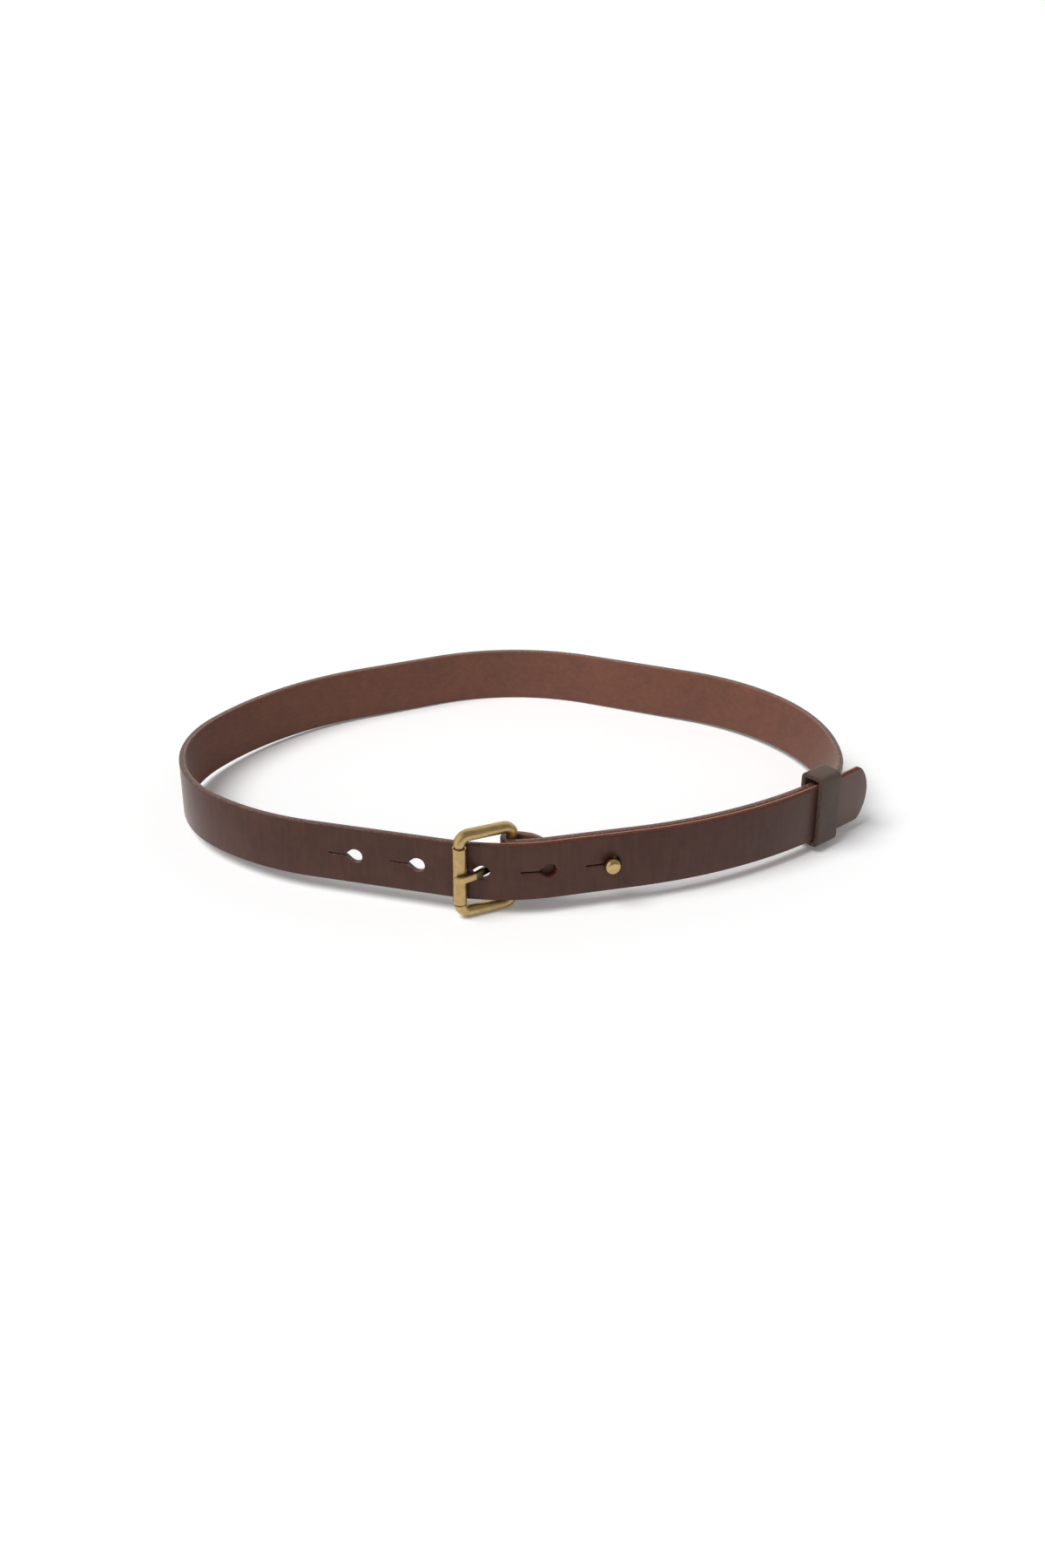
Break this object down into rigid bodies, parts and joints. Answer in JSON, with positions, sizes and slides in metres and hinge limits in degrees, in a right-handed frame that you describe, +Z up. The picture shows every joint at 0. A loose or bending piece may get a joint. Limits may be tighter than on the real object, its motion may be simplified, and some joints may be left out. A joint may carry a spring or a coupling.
{
  "type": "leather belt",
  "caption": "Leather dress belt, buckled: punched strap on a heel-bar roller buckle with prong, a stud in the first keyhole and a sliding leather keeper near the rounded tip.",
  "frame": {"origin": "middle of the belt's footprint, on the surface it stands on", "axes": "+Z up, +Y from the buckle to the back of the waist, +X to the right of the buckle, along the waist's long side"},
  "size_m": [0.3584, 0.2488, 0.0472],
  "materials": {
    "strap_leather": "matt waxed brown, reddish burnished edges",
    "keeper_leather": "matt grey-brown",
    "antique_brass": "brushed antique brass"
  },
  "bodies": {
    "belt": {"strap": "strap_leather", "stud": "antique_brass", "stud_screw": "antique_brass"},
    "buckle": {"buckle_frame": "antique_brass"},
    "roller": {"roller": "antique_brass"},
    "prong": {"prong": "antique_brass"},
    "keeper": {"keeper": "keeper_leather"}
  },
  "joints": [
    {"name": "buckle_tilt", "type": "hinge", "parent": "belt", "child": "buckle", "pos_m": [-0.00442, -0.10778, 0.02348], "axis": [0, 0.0358, 0.9994], "range_deg": [-0.5, 1]},
    {"name": "roller_spin", "type": "hinge", "parent": "buckle", "child": "roller", "pos_m": [-0.02923, -0.11868, 0.02347], "axis": [0, 0.0358, 0.9994], "continuous": true},
    {"name": "prong_swing", "type": "hinge", "parent": "buckle", "child": "prong", "pos_m": [-0.00442, -0.10778, 0.02348], "axis": [0, 0.0358, 0.9994], "range_deg": [0, 2]},
    {"name": "keeper_slide", "type": "hinge", "parent": "belt", "child": "keeper", "pos_m": [-0.00114, 0.12484, -0.00007], "axis": [0, 0.0358, 0.9994], "range_deg": [-24, 0.5]}
  ]
}
